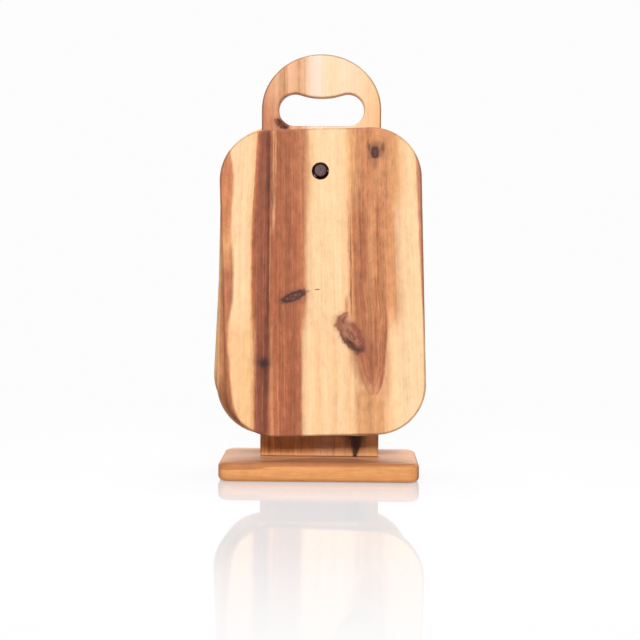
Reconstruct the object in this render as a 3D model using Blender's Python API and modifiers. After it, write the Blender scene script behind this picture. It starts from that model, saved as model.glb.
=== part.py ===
"""A set of wooden cutting boards that hang from a peg on a stand with a carrying handle.

Metres, +Z up, the front towards -Y. The origin is under the middle of the base.
Two boards hang in front of the upright and two behind it, all from one peg through it.
"""

import math

import bmesh
import bpy

# Cutting boards
BOARD_WIDTH = 0.200
BOARD_LENGTH = 0.305
BOARD_THICKNESS = 0.015
BOARD_CORNER_RADIUS = 0.050
BOARD_EDGE_RADIUS = 0.003
BOARD_HOLE_TO_TOP = 0.042
BOARD_HOLE_EASING = 0.0006

# The hole of two boards is drilled a little higher or lower
FRONT_INNER_HOLE_TO_TOP = 0.0402
BACK_INNER_HOLE_TO_TOP = 0.0448

# How each board hangs: degrees it leans clockwise, seen from the front
FRONT_OUTER_LEAN = -1.7
FRONT_INNER_LEAN = 0.9
BACK_INNER_LEAN = 2.75
BACK_OUTER_LEAN = 1.6

# Spaces along the peg
FRONT_INNER_SPACE = 0.0060
FRONT_OUTER_SPACE = 0.0032
BACK_INNER_SPACE = 0.0012
BACK_OUTER_SPACE = 0.0016

# Peg
PEG_DIAMETER = 0.014
PEG_CHAMFER = 0.0008
PEG_SLACK_IN_BOARD = 0.002

# Base
BASE_WIDTH = 0.201
BASE_DEPTH = 0.105
BASE_THICKNESS = 0.019
BASE_CORNER_RADIUS = 0.013
BASE_EDGE_RADIUS = 0.005
BASE_TO_BOARD_SPACE = 0.0268

# Upright, with its arched top
UPRIGHT_WIDTH = 0.121
UPRIGHT_THICKNESS = 0.018
UPRIGHT_ARCH_RISE = 0.056
UPRIGHT_EDGE_RADIUS = 0.0022

# Hand hole in the upright: two round ends, a flat floor and a roof that dips between the fingers
HAND_HOLE_SIDE_WALL = 0.0172
HAND_HOLE_HEIGHT = 0.033
HAND_HOLE_ROOF_DIP = 0.0044
HAND_HOLE_ABOVE_BOARDS = 0.0052
HAND_HOLE_TOP_WALL = 0.0396

# Wood screws up through the base
SCREW_DIAMETER = 0.0045
SCREW_LENGTH = 0.050
SCREW_HEAD_DIAMETER = 0.009
SCREW_HEAD_RIM = 0.0005
SCREW_SINK = 0.001
SCREW_THREAD_PITCH = 0.0025
SCREW_THREAD_DEPTH = 0.0007
SCREW_THREAD_LENGTH = 0.030
SCREW_TIP_LENGTH = 0.005
SCREW_RECESS_LENGTH = 0.0046
SCREW_RECESS_WIDTH = 0.0011
SCREW_RECESS_DEPTH = 0.0018
SCREW_FROM_DOWEL = 0.020

# Glued dowels that line up the upright on the base
DOWEL_DIAMETER = 0.008
DOWEL_CHAMFER = 0.001
DOWEL_FLUTE_DEPTH = 0.0003
DOWEL_IN_UPRIGHT = 0.018
DOWEL_FLOOR = 0.007
DOWEL_FROM_EDGE = 0.014

# Clearances and working values
CONTACT_GAP = 0.0003
CUT_OVERRUN = 0.005
MERGE_DISTANCE = 0.00001

# Counts of straight steps that make each round
CORNER_STEPS = 24
ARCH_STEPS = 32
HOLE_STEPS = 32
SCREW_STEPS = 16
DOWEL_FLUTES = 12
EDGE_SEGMENTS = 3

# Places worked out from the sizes above
BOARD_BOTTOM = BASE_THICKNESS + BASE_TO_BOARD_SPACE
BOARD_HOLE_HEIGHT = BOARD_BOTTOM + BOARD_LENGTH - BOARD_HOLE_TO_TOP
BOARD_TOP = BOARD_BOTTOM + BOARD_LENGTH
PEG_RADIUS = PEG_DIAMETER / 2
BOARD_HOLE_RADIUS = PEG_RADIUS + PEG_SLACK_IN_BOARD / 2
PEG_HEIGHT = BOARD_HOLE_HEIGHT + BOARD_HOLE_RADIUS - PEG_RADIUS - CONTACT_GAP
UPRIGHT_FOOT = BASE_THICKNESS + CONTACT_GAP
HAND_HOLE_FLOOR = BOARD_TOP + HAND_HOLE_ABOVE_BOARDS
HAND_HOLE_WIDTH = UPRIGHT_WIDTH - 2 * HAND_HOLE_SIDE_WALL
UPRIGHT_TOP = HAND_HOLE_FLOOR + HAND_HOLE_HEIGHT + HAND_HOLE_TOP_WALL
FRONT_STACK = FRONT_INNER_SPACE + FRONT_OUTER_SPACE + 2 * BOARD_THICKNESS
PEG_REACH = UPRIGHT_THICKNESS / 2 + FRONT_STACK
DOWEL_PLACE = UPRIGHT_WIDTH / 2 - DOWEL_FROM_EDGE
SCREW_PLACE = DOWEL_PLACE - SCREW_FROM_DOWEL

# Finishes: colour, roughness and metallic value
FINISHES = {
    "board_wood": ((0.62, 0.33, 0.17, 1.0), 0.5, 0.0),
    "stand_wood": ((0.66, 0.36, 0.17, 1.0), 0.5, 0.0),
    "peg_wood": ((0.06, 0.03, 0.025, 1.0), 0.55, 0.0),
    "dowel_wood": ((0.72, 0.53, 0.33, 1.0), 0.6, 0.0),
    "screw_steel": ((0.62, 0.55, 0.36, 1.0), 0.35, 1.0),
}


def clear_scene():
    for old in list(bpy.data.objects):
        bpy.data.objects.remove(old)


def new_collection(name):
    group = bpy.data.collections.new(name)
    bpy.context.scene.collection.children.link(group)
    return group


def make_finishes():
    finishes = {}
    for name, (colour, roughness, metallic) in FINISHES.items():
        finish = bpy.data.materials.new(name)
        finish.use_nodes = True
        shader = finish.node_tree.nodes["Principled BSDF"]
        shader.inputs["Base Color"].default_value = colour
        shader.inputs["Roughness"].default_value = roughness
        shader.inputs["Metallic"].default_value = metallic
        finishes[name] = finish
    return finishes


clear_scene()
PARTS = new_collection("cutting_board_set")
CUTTERS = new_collection("cutters")
CUTTERS.hide_render = True
MATERIALS = make_finishes()


def add_part(piece, finish):
    """Adds a finished piece to the set, shaded smooth but for its real edges."""
    PARTS.objects.link(piece)
    piece.data.materials.append(MATERIALS[finish])
    piece.data.shade_smooth()
    piece.data.set_sharp_from_angle(angle=math.radians(35))
    return piece


def add_cutter(piece):
    CUTTERS.objects.link(piece)
    piece.hide_render = True
    piece.display_type = "WIRE"
    return piece


def arc(centre, radii, start, end, steps):
    """Points of an elliptical arc, angles in degrees, both ends included."""
    points = []
    for step in range(steps + 1):
        angle = math.radians(start + (end - start) * step / steps)
        across = centre[0] + radii[0] * math.cos(angle)
        up = centre[1] + radii[1] * math.sin(angle)
        points.append((across, up))
    return points


def rounded_rectangle(width, height, radius):
    """A rectangle about the origin with four round corners."""
    inner_x = width / 2 - radius
    inner_y = height / 2 - radius
    points = []
    for quarter, (side_x, side_y) in enumerate([(1, 1), (-1, 1), (-1, -1), (1, -1)]):
        centre = (side_x * inner_x, side_y * inner_y)
        start = 90 * quarter
        points += arc(centre, (radius, radius), start, start + 90, CORNER_STEPS)
    return points


def weld(mesh):
    """Joins a flat outline's caps to its sides and makes each cap one face."""
    shape = bmesh.new()
    shape.from_mesh(mesh)
    bmesh.ops.remove_doubles(shape, verts=shape.verts, dist=MERGE_DISTANCE)
    bmesh.ops.dissolve_limit(
        shape,
        angle_limit=math.radians(0.5),
        verts=shape.verts,
        edges=shape.edges,
    )
    shape.to_mesh(mesh)
    shape.free()


def plate(name, outline, thickness, location=(0, 0, 0), rotation=(0, 0, 0)):
    """A flat piece with that outline, its middle plane through the object's origin."""
    curve = bpy.data.curves.new(name, "CURVE")
    curve.dimensions = "2D"
    curve.fill_mode = "BOTH"
    curve.extrude = thickness / 2
    spline = curve.splines.new("POLY")
    spline.points.add(len(outline) - 1)
    for point, (across, up) in zip(spline.points, outline):
        point.co = (across, up, 0, 1)
    spline.use_cyclic_u = True
    guide = bpy.data.objects.new(name + "_outline", curve)
    guide.location = location
    guide.rotation_euler = rotation
    bpy.context.scene.collection.objects.link(guide)
    bpy.context.view_layer.update()
    graph = bpy.context.evaluated_depsgraph_get()
    mesh = bpy.data.meshes.new_from_object(guide.evaluated_get(graph))
    weld(mesh)
    piece = bpy.data.objects.new(name, mesh)
    piece.matrix_world = guide.matrix_world
    bpy.data.objects.remove(guide)
    return piece


def turned(name, profile, steps, location=(0, 0, 0), rotation=(0, 0, 0)):
    """A piece turned round its own Z axis, from a profile that runs from top to bottom."""
    shape = bmesh.new()
    points = [shape.verts.new((radius, 0, height)) for radius, height in profile]
    for upper, lower in zip(points, points[1:]):
        shape.edges.new((upper, lower))
    mesh = bpy.data.meshes.new(name)
    shape.to_mesh(mesh)
    shape.free()
    piece = bpy.data.objects.new(name, mesh)
    piece.location = location
    piece.rotation_euler = rotation
    turning = piece.modifiers.new("turning", "SCREW")
    turning.steps = steps
    turning.render_steps = steps
    turning.use_merge_vertices = True
    turning.merge_threshold = MERGE_DISTANCE
    return piece


def drill(name, radius, length, location, rotation=(0, 0, 0)):
    """A straight round cutter along its own Z axis, its middle at the location."""
    shape = bmesh.new()
    bmesh.ops.create_cone(
        shape,
        cap_ends=True,
        segments=HOLE_STEPS,
        radius1=radius,
        radius2=radius,
        depth=length,
    )
    mesh = bpy.data.meshes.new(name)
    shape.to_mesh(mesh)
    shape.free()
    cutter = bpy.data.objects.new(name, mesh)
    cutter.location = location
    cutter.rotation_euler = rotation
    return add_cutter(cutter)


def block(name, size, location):
    """A box cutter of that size, its middle at the location."""
    shape = bmesh.new()
    bmesh.ops.create_cube(shape, size=1)
    bmesh.ops.scale(shape, vec=size, verts=shape.verts)
    mesh = bpy.data.meshes.new(name)
    shape.to_mesh(mesh)
    shape.free()
    cutter = bpy.data.objects.new(name, mesh)
    cutter.location = location
    return add_cutter(cutter)


def cut(piece, cutter):
    hole = piece.modifiers.new(cutter.name, "BOOLEAN")
    hole.operation = "DIFFERENCE"
    hole.object = cutter


def round_edges(piece, radius, sharper_than, segments):
    """Rounds the edges that turn by more than an angle in degrees."""
    rounding = piece.modifiers.new("rounded_edges", "BEVEL")
    rounding.width = radius
    rounding.segments = segments
    rounding.limit_method = "ANGLE"
    rounding.angle_limit = math.radians(sharper_than)


UPRIGHT_ON_EDGE = (math.pi / 2, 0, 0)


def make_board(name, lean, middle, hole_to_top):
    """A board that hangs by its hole, whose centre is the object's origin.

    middle is where the middle of its thickness lies along the peg."""
    outline = rounded_rectangle(BOARD_WIDTH, BOARD_LENGTH, BOARD_CORNER_RADIUS)
    drop = BOARD_LENGTH / 2 - hole_to_top
    outline = [(across, up - drop) for across, up in outline]
    board = plate(
        name,
        outline,
        BOARD_THICKNESS,
        location=(0, middle, BOARD_HOLE_HEIGHT),
        rotation=(math.pi / 2, math.radians(lean), 0),
    )
    round_edges(board, BOARD_EDGE_RADIUS, 30, EDGE_SEGMENTS)
    cut(board, BOARD_HOLE_DRILL)
    round_edges(board, BOARD_HOLE_EASING, 60, 1)
    return add_part(board, "board_wood")


def make_boards():
    """Two boards in front and two behind, set out from the upright's faces."""
    face = UPRIGHT_THICKNESS / 2
    front_inner = -face - FRONT_INNER_SPACE - BOARD_THICKNESS / 2
    front_outer = front_inner - BOARD_THICKNESS - FRONT_OUTER_SPACE
    back_inner = face + BACK_INNER_SPACE + BOARD_THICKNESS / 2
    back_outer = back_inner + BOARD_THICKNESS + BACK_OUTER_SPACE
    make_board("board_front_outer", FRONT_OUTER_LEAN, front_outer, BOARD_HOLE_TO_TOP)
    make_board("board_front_inner", FRONT_INNER_LEAN, front_inner, FRONT_INNER_HOLE_TO_TOP)
    make_board("board_back_inner", BACK_INNER_LEAN, back_inner, BACK_INNER_HOLE_TO_TOP)
    make_board("board_back_outer", BACK_OUTER_LEAN, back_outer, BOARD_HOLE_TO_TOP)


def make_peg():
    """The peg through the upright, flush with the outermost front board."""
    profile = [
        (0, PEG_REACH),
        (PEG_RADIUS - PEG_CHAMFER, PEG_REACH),
        (PEG_RADIUS, PEG_REACH - PEG_CHAMFER),
        (PEG_RADIUS, PEG_CHAMFER - PEG_REACH),
        (PEG_RADIUS - PEG_CHAMFER, -PEG_REACH),
        (0, -PEG_REACH),
    ]
    place = (0, 0, PEG_HEIGHT)
    peg = turned("hanging_peg", profile, HOLE_STEPS, place, UPRIGHT_ON_EDGE)
    return add_part(peg, "peg_wood")


def make_base():
    outline = rounded_rectangle(BASE_WIDTH, BASE_DEPTH, BASE_CORNER_RADIUS)
    base = plate("base", outline, BASE_THICKNESS, location=(0, 0, BASE_THICKNESS / 2))
    round_edges(base, BASE_EDGE_RADIUS, 30, EDGE_SEGMENTS)
    for cutter in DOWEL_DRILLS + SCREW_HOLES:
        cut(base, cutter)
    return add_part(base, "stand_wood")


def upright_outline():
    """Straight sides and an elliptical arch.

    The foot runs on below, and is trimmed after its edges are rounded."""
    half = UPRIGHT_WIDTH / 2
    shoulder = UPRIGHT_TOP - UPRIGHT_ARCH_RISE
    foot = UPRIGHT_FOOT - CUT_OVERRUN
    points = arc((0, shoulder), (half, UPRIGHT_ARCH_RISE), 0, 180, ARCH_STEPS)
    return points + [(-half, foot), (half, foot)]


def hand_hole_outline():
    """Round ends and a flat floor. The roof's dip is an arc that meets both ends smoothly."""
    end = HAND_HOLE_HEIGHT / 2
    reach = HAND_HOLE_WIDTH / 2 - end
    level = HAND_HOLE_FLOOR + end
    low_roof = end - HAND_HOLE_ROOF_DIP
    dip_radius = (reach**2 + low_roof**2 - end**2) / (2 * HAND_HOLE_ROOF_DIP)
    dip_height = low_roof + dip_radius
    turn = math.degrees(math.atan2(reach, dip_height))
    right = arc((reach, level), (end, end), -90, 90 + turn, CORNER_STEPS + 2)
    dip = arc((0, level + dip_height), (dip_radius, dip_radius), 270 + turn, 270 - turn, CORNER_STEPS)
    left = arc((-reach, level), (end, end), 90 - turn, 270, CORNER_STEPS + 2)
    return right + dip[1:-1] + left


def make_upright():
    upright = plate("upright", upright_outline(), UPRIGHT_THICKNESS, rotation=UPRIGHT_ON_EDGE)
    round_edges(upright, UPRIGHT_EDGE_RADIUS, 60, EDGE_SEGMENTS)
    hand_hole = plate(
        "hand_hole",
        hand_hole_outline(),
        UPRIGHT_THICKNESS + 2 * CUT_OVERRUN,
        rotation=UPRIGHT_ON_EDGE,
    )
    cut(upright, add_cutter(hand_hole))
    round_edges(upright, UPRIGHT_EDGE_RADIUS, 60, EDGE_SEGMENTS)
    trim_size = (UPRIGHT_WIDTH + CUT_OVERRUN, UPRIGHT_THICKNESS + CUT_OVERRUN, 2 * CUT_OVERRUN)
    cut(upright, block("foot_trim", trim_size, (0, 0, UPRIGHT_FOOT - CUT_OVERRUN)))
    peg_hole = drill(
        "peg_hole",
        PEG_RADIUS + CONTACT_GAP,
        UPRIGHT_THICKNESS + 2 * CUT_OVERRUN,
        (0, 0, PEG_HEIGHT),
        UPRIGHT_ON_EDGE,
    )
    cut(upright, peg_hole)
    for cutter in DOWEL_DRILLS + SCREW_HOLES:
        cut(upright, cutter)
    return add_part(upright, "stand_wood")


def dowel_outline():
    """A round with shallow flutes along it, which let the glue out."""
    steps = 2 * DOWEL_FLUTES
    points = []
    for step in range(steps):
        radius = DOWEL_DIAMETER / 2 - DOWEL_FLUTE_DEPTH * (step % 2)
        angle = 2 * math.pi * step / steps
        points.append((radius * math.cos(angle), radius * math.sin(angle)))
    return points


def make_dowels():
    bottom = DOWEL_FLOOR
    top = UPRIGHT_FOOT + DOWEL_IN_UPRIGHT
    for side, place in (("left", -DOWEL_PLACE), ("right", DOWEL_PLACE)):
        dowel = plate(
            "base_dowel_" + side,
            dowel_outline(),
            top - bottom,
            location=(place, 0, (top + bottom) / 2),
        )
        round_edges(dowel, DOWEL_CHAMFER, 60, 1)
        add_part(dowel, "dowel_wood")


def screw_profile():
    """From the tip down to the head: a thread of rings, a plain shank and a flat countersunk head."""
    radius = SCREW_DIAMETER / 2
    root = radius - SCREW_THREAD_DEPTH
    tip = SCREW_SINK + SCREW_LENGTH
    head_radius = SCREW_HEAD_DIAMETER / 2
    cone_top = SCREW_SINK + SCREW_HEAD_RIM + head_radius - radius
    profile = [(0, tip), (root, tip - SCREW_TIP_LENGTH)]
    height = tip - SCREW_TIP_LENGTH
    for _ring in range(int(SCREW_THREAD_LENGTH / SCREW_THREAD_PITCH) - 1):
        profile.append((radius, height - SCREW_THREAD_PITCH / 2))
        profile.append((root, height - SCREW_THREAD_PITCH))
        height -= SCREW_THREAD_PITCH
    profile.append((radius, height - SCREW_THREAD_DEPTH))
    profile.append((radius, cone_top))
    profile.append((head_radius, SCREW_SINK + SCREW_HEAD_RIM))
    profile.append((head_radius, SCREW_SINK))
    profile.append((0, SCREW_SINK))
    return profile


def make_screws():
    """Countersunk wood screws with a cross recess in the head, which faces down."""
    slot_height = 2 * SCREW_RECESS_DEPTH
    for side, place in (("left", -SCREW_PLACE), ("right", SCREW_PLACE)):
        screw = turned("base_screw_" + side, screw_profile(), SCREW_STEPS, (place, 0, 0))
        for way, turn in (("across", 0), ("along", math.pi / 2)):
            slot_size = (SCREW_RECESS_LENGTH, SCREW_RECESS_WIDTH, slot_height)
            slot = block("recess_" + way + "_" + side, slot_size, (place, 0, SCREW_SINK))
            slot.rotation_euler = (0, 0, turn)
            cut(screw, slot)
        add_part(screw, "screw_steel")


def board_hole_drill():
    """One drill through the holes of all the boards, whose centres are in line."""
    return drill(
        "board_holes",
        BOARD_HOLE_RADIUS,
        2 * PEG_REACH + BASE_DEPTH,
        (0, 0, BOARD_HOLE_HEIGHT),
        UPRIGHT_ON_EDGE,
    )


def dowel_drills():
    bottom = DOWEL_FLOOR - CONTACT_GAP
    top = UPRIGHT_FOOT + DOWEL_IN_UPRIGHT + CONTACT_GAP
    drills = []
    for side, place in (("left", -DOWEL_PLACE), ("right", DOWEL_PLACE)):
        radius = DOWEL_DIAMETER / 2 + CONTACT_GAP
        middle = (place, 0, (top + bottom) / 2)
        drills.append(drill("dowel_hole_" + side, radius, top - bottom, middle))
    return drills


def screw_holes():
    """Holes for the screws, through the base and on into the upright, countersunk underneath."""
    radius = SCREW_DIAMETER / 2 + CONTACT_GAP
    head_radius = SCREW_HEAD_DIAMETER / 2 + CONTACT_GAP
    rim_height = SCREW_SINK + SCREW_HEAD_RIM + CONTACT_GAP
    top = SCREW_SINK + SCREW_LENGTH + CONTACT_GAP
    profile = [
        (0, top),
        (radius, top),
        (radius, rim_height + head_radius - radius),
        (head_radius, rim_height),
        (head_radius, -CUT_OVERRUN),
        (0, -CUT_OVERRUN),
    ]
    holes = []
    for side, place in (("left", -SCREW_PLACE), ("right", SCREW_PLACE)):
        hole = turned("screw_hole_" + side, profile, SCREW_STEPS, (place, 0, 0))
        holes.append(add_cutter(hole))
    return holes


BOARD_HOLE_DRILL = board_hole_drill()
DOWEL_DRILLS = dowel_drills()
SCREW_HOLES = screw_holes()

make_base()
make_upright()
make_peg()
make_dowels()
make_screws()
make_boards()
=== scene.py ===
import math

import bmesh
import bpy
from mathutils import Matrix, Vector


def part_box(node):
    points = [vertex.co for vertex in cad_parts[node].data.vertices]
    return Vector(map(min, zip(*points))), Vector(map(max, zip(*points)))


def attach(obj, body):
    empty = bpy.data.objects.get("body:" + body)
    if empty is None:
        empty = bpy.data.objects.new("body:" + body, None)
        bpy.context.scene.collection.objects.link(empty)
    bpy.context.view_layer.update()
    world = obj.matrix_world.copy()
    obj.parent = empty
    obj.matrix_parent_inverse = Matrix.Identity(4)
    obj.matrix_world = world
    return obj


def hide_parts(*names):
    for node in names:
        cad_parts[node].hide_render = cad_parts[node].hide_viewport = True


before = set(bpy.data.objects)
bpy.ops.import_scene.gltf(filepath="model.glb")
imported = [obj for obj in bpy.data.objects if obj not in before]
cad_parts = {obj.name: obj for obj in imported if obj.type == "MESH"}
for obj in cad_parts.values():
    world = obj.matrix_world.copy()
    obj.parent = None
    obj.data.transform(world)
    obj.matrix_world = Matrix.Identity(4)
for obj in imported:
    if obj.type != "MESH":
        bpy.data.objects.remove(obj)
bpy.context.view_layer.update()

# Sizes of the wooden pieces, in metres
BOARD_WIDTH = 0.200
BOARD_LENGTH = 0.305
BOARD_CORNER = 0.050
BOARD_EDGE = 0.003
BOARD_HOLE = 0.016
BOARD_HOLE_EASING = 0.0006
BASE_CORNER = 0.013
BASE_EDGE = 0.005
ARCH_RISE = 0.056
UPRIGHT_EDGE = 0.0022
HAND_HOLE_SIDE_WALL = 0.0172
HAND_HOLE_HEIGHT = 0.033
HAND_HOLE_ROOF_DIP = 0.0044
HAND_HOLE_TOP_WALL = 0.0396
PEG_ROUNDING = 0.0008
FITTING_GAP = 0.0003
OVERRUN = 0.005
SCREW_RADIUS = 0.00225
SCREW_HEAD_RIM = 0.0005
SCREW_TIP = 0.005
THREAD_PITCH = 0.0025
THREAD_DEPTH = 0.0007
THREAD_RINGS = 11
RECESS_LENGTH = 0.0046
RECESS_WIDTH = 0.0011
RECESS_DEPTH = 0.0018
DOWEL_FLUTES = 12
DOWEL_FLUTE_DEPTH = 0.0003
DOWEL_CHAMFER = 0.001

# How finely the shapes are drawn
CORNER_STEPS = 24
EDGE_STEPS = 6
SMALL_EDGE_STEPS = 3
PEG_EDGE_STEPS = 4
ARCH_STEPS = 96
FINGER_STEPS = 32
ROOF_STEPS = 24
ROUND_STEPS = 64
TURNED_STEPS = 48
SHARP = math.radians(60)
SMOOTH_BELOW = math.radians(40)
JOINED = 0.00001

# Each board: its body, how many degrees it leans clockwise, seen from the front, and how far its hole's
# centre lies below its top edge
BOARDS = {
    "board_front_outer": ("front_outer", -1.7, 0.042),
    "board_front_inner": ("front_inner", 0.9, 0.0402),
    "board_back_inner": ("back_inner", 2.75, 0.0448),
    "board_back_outer": ("back_outer", 1.6, 0.042),
}
SCREWS = ("base_screw_left", "base_screw_right")
DOWELS = ("base_dowel_left", "base_dowel_right")

# Places read from the fixed frame
PEG_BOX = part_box("hanging_peg")
BASE_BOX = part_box("base")
UPRIGHT_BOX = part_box("upright")
PEG_RADIUS = (PEG_BOX[1].x - PEG_BOX[0].x) / 2
PEG_HEIGHT = (PEG_BOX[0].z + PEG_BOX[1].z) / 2
HOLE_HEIGHT = PEG_HEIGHT + PEG_RADIUS + FITTING_GAP - BOARD_HOLE / 2
UPRIGHT_WIDTH = UPRIGHT_BOX[1].x - UPRIGHT_BOX[0].x
UPRIGHT_THICKNESS = UPRIGHT_BOX[1].y - UPRIGHT_BOX[0].y
UPRIGHT_TOP = UPRIGHT_BOX[1].z
UPRIGHT_FOOT = UPRIGHT_BOX[0].z


def middle(box):
    return (box[0] + box[1]) / 2


def size(box):
    return box[1] - box[0]


# Shaping


def move(shape, way):
    bmesh.ops.translate(shape, vec=way, verts=shape.verts)


def bevel(shape, parts, affect, radius, segments):
    bmesh.ops.bevel(
        shape,
        geom=parts,
        affect=affect,
        offset=radius,
        offset_type="OFFSET",
        segments=segments,
        profile=0.5,
        material=-1,
    )


def soften(shape, radius, segments):
    """Rounds every edge at which the surface turns sharply."""
    inner = [edge for edge in shape.edges if len(edge.link_faces) == 2]
    bevel(shape, [edge for edge in inner if edge.calc_face_angle() > SHARP], "EDGES", radius, segments)


def thicken(shape, thickness):
    """Gives a flat face across X and Y its thickness, with its middle at height zero."""
    move(shape, (0, 0, -thickness / 2))
    raised = bmesh.ops.extrude_face_region(shape, geom=shape.faces[:])["geom"]
    corners = [part for part in raised if isinstance(part, bmesh.types.BMVert)]
    bmesh.ops.translate(shape, vec=(0, 0, thickness), verts=corners)
    bmesh.ops.recalc_face_normals(shape, faces=shape.faces)


def rounded_slab(width, length, corner, thickness):
    """A slab across X and Y with round corners, its middle at the origin."""
    shape = bmesh.new()
    bmesh.ops.create_grid(shape, x_segments=1, y_segments=1, size=0.5)
    bmesh.ops.scale(shape, vec=(width, length, 1), verts=shape.verts)
    bevel(shape, shape.verts[:], "VERTICES", corner, CORNER_STEPS)
    thicken(shape, thickness)
    return shape


def cylinder(radius, bottom, top, across=0, steps=ROUND_STEPS):
    """A round along Z between two heights."""
    shape = bmesh.new()
    bmesh.ops.create_cone(
        shape,
        cap_ends=True,
        segments=steps,
        radius1=radius,
        radius2=radius,
        depth=top - bottom,
    )
    move(shape, (across, 0, (top + bottom) / 2))
    return shape


def stand_up(shape, lean=0, place=(0, 0, 0)):
    """Turns a shape that lies flat to face the front, leans it and puts it in its place."""
    turn = Matrix.Rotation(math.radians(lean), 4, "Y") @ Matrix.Rotation(math.pi / 2, 4, "X")
    bmesh.ops.transform(shape, matrix=Matrix.Translation(place) @ turn, verts=shape.verts)


def to_object(name, shape):
    mesh = bpy.data.meshes.new(name)
    shape.to_mesh(mesh)
    shape.free()
    piece = bpy.data.objects.new(name, mesh)
    bpy.context.scene.collection.objects.link(piece)
    return piece


def carve(shape, cutters):
    """Takes the cutters out of a shape, and gives the shape that is left."""
    piece = to_object("uncut", shape)
    tools = [to_object("cutter", cutter) for cutter in cutters]
    for tool in tools:
        cut = piece.modifiers.new("cut", "BOOLEAN")
        cut.operation = "DIFFERENCE"
        cut.object = tool
    graph = bpy.context.evaluated_depsgraph_get()
    carved = bmesh.new()
    carved.from_object(piece, graph)
    for used in [piece] + tools:
        bpy.data.objects.remove(used)
    return carved


def finish_piece(name, shape, material, body, nodes):
    """Makes the piece that stands for its nodes, shaded smooth up to its real edges."""
    piece = to_object(name, shape)
    piece.data.materials.append(material)
    piece.data.shade_smooth()
    piece.data.set_sharp_from_angle(angle=SMOOTH_BELOW)
    shading = piece.modifiers.new("even shading", "WEIGHTED_NORMAL")
    shading.keep_sharp = True
    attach(piece, body)
    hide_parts(*nodes)
    return piece


# Node work


def shade(red, green, blue):
    """A colour as it shows on the finished wood, turned to Blender's linear values."""
    linear = []
    for value in (red, green, blue):
        share = value / 255
        linear.append(share / 12.92 if share <= 0.04045 else ((share + 0.055) / 1.055) ** 2.4)
    return (*linear, 1.0)


def linear_colour(colour):
    """Three numbers are a shade, and four are linear values already."""
    return shade(*colour) if len(colour) == 3 else colour


def wire(value, socket):
    """Wires a flow to a socket, or sets a plain value there."""
    if isinstance(value, Flow):
        socket.id_data.links.new(value.socket, socket)
    else:
        socket.default_value = linear_colour(value) if socket.type == "RGBA" else value


def add_node(tree, kind, *values, **settings):
    """Adds a node, sets it up and gives its first inputs their values."""
    node = tree.nodes.new("ShaderNode" + kind)
    for name, value in settings.items():
        setattr(node, name, value)
    for socket, value in zip(node.inputs, values):
        wire(value, socket)
    return node


class Flow:
    """A number, a place, a colour or a shader on its way through the nodes, which can be reckoned with."""

    def __init__(self, socket):
        self.socket = socket
        self.tree = socket.id_data

    def into(self, kind, *values, **settings):
        """Flows into a new node, and gives what comes out of it first."""
        return Flow(add_node(self.tree, kind, self, *values, **settings).outputs[0])

    def math(self, operation, *others):
        return self.into("Math", *others, operation=operation)

    def __add__(self, other):
        return self.math("ADD", other)

    def __sub__(self, other):
        return self.math("SUBTRACT", other)

    def __rsub__(self, other):
        return Flow(add_node(self.tree, "Math", other, self, operation="SUBTRACT").outputs[0])

    def __mul__(self, other):
        return self.math("MULTIPLY", other)

    def __truediv__(self, other):
        return self.math("DIVIDE", other)

    def __abs__(self):
        return self.math("ABSOLUTE")

    __radd__ = __add__
    __rmul__ = __mul__

    def rise(self, low, high, reach=1.0):
        """Goes smoothly from nothing at low to its reach at high, which may be the lower of the two."""
        return self.into("MapRange", low, high, 0, reach, interpolation_type="SMOOTHSTEP")

    def between(self, start, end, fade):
        """One from start to end, with soft ends."""
        return self.rise(start - fade, start + fade) * self.rise(end + fade, end - fade)

    def course(self, places):
        """A smooth curve through places, each given along the grain and then across it."""
        along, across = zip(*places)
        low, reach = min(across), max(across) - min(across)
        node = add_node(self.tree, "FloatCurve", 1.0, self.into("MapRange", along[0], along[-1]))
        points = node.mapping.curves[0].points
        for _extra in places[2:]:
            points.new(0.5, 0.5)
        for point, (down, beside) in zip(points, places):
            point.location = ((down - along[0]) / (along[-1] - along[0]), (beside - low) / reach)
        node.mapping.update()
        return Flow(node.outputs[0]) * reach + low

    def split(self):
        return [Flow(socket) for socket in add_node(self.tree, "SeparateXYZ", self).outputs]

    def noise(self, sizes, detail=2.0, roughness=0.5):
        """Cloudy noise, whose clouds are about this large each way."""
        return self.into("VectorMath", sizes, operation="DIVIDE").into("TexNoise", 0, 1, detail, roughness)

    def stray(self, *shape):
        """The same noise, about zero."""
        return self.noise(*shape) - 0.5

    def ramp(self, stops):
        """Colours along a stretch: each stop is its place and its colour."""
        low, high = stops[0][0], stops[-1][0]
        node = add_node(self.tree, "ValToRGB", self.into("MapRange", low, high))
        elements = node.color_ramp.elements
        elements.remove(elements[1])
        for number, (place, colour) in enumerate(stops):
            position = (place - low) / (high - low)
            element = elements[0] if number == 0 else elements.new(position)
            element.position = position
            element.color = linear_colour(colour)
        return Flow(node.outputs[0])

    def blend(self, first, second, kind="FLOAT", inputs=(2, 3), output=0):
        """Goes this share of the way from one number to another."""
        node = add_node(self.tree, "Mix", self, data_type=kind)
        for number, value in zip(inputs, (first, second)):
            wire(value, node.inputs[number])
        return Flow(node.outputs[output])

    def mix(self, first, second):
        """Goes this share of the way from one colour to another."""
        return self.blend(first, second, "RGBA", (6, 7), 2)


def join(across, through, along):
    return across.into("CombineXYZ", through, along)


def distance_from(across, down, centre):
    """How far a place is from a centre."""
    beside, below = across - centre[0], down - centre[1]
    return (beside * beside + below * below).math("SQRT")


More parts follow.
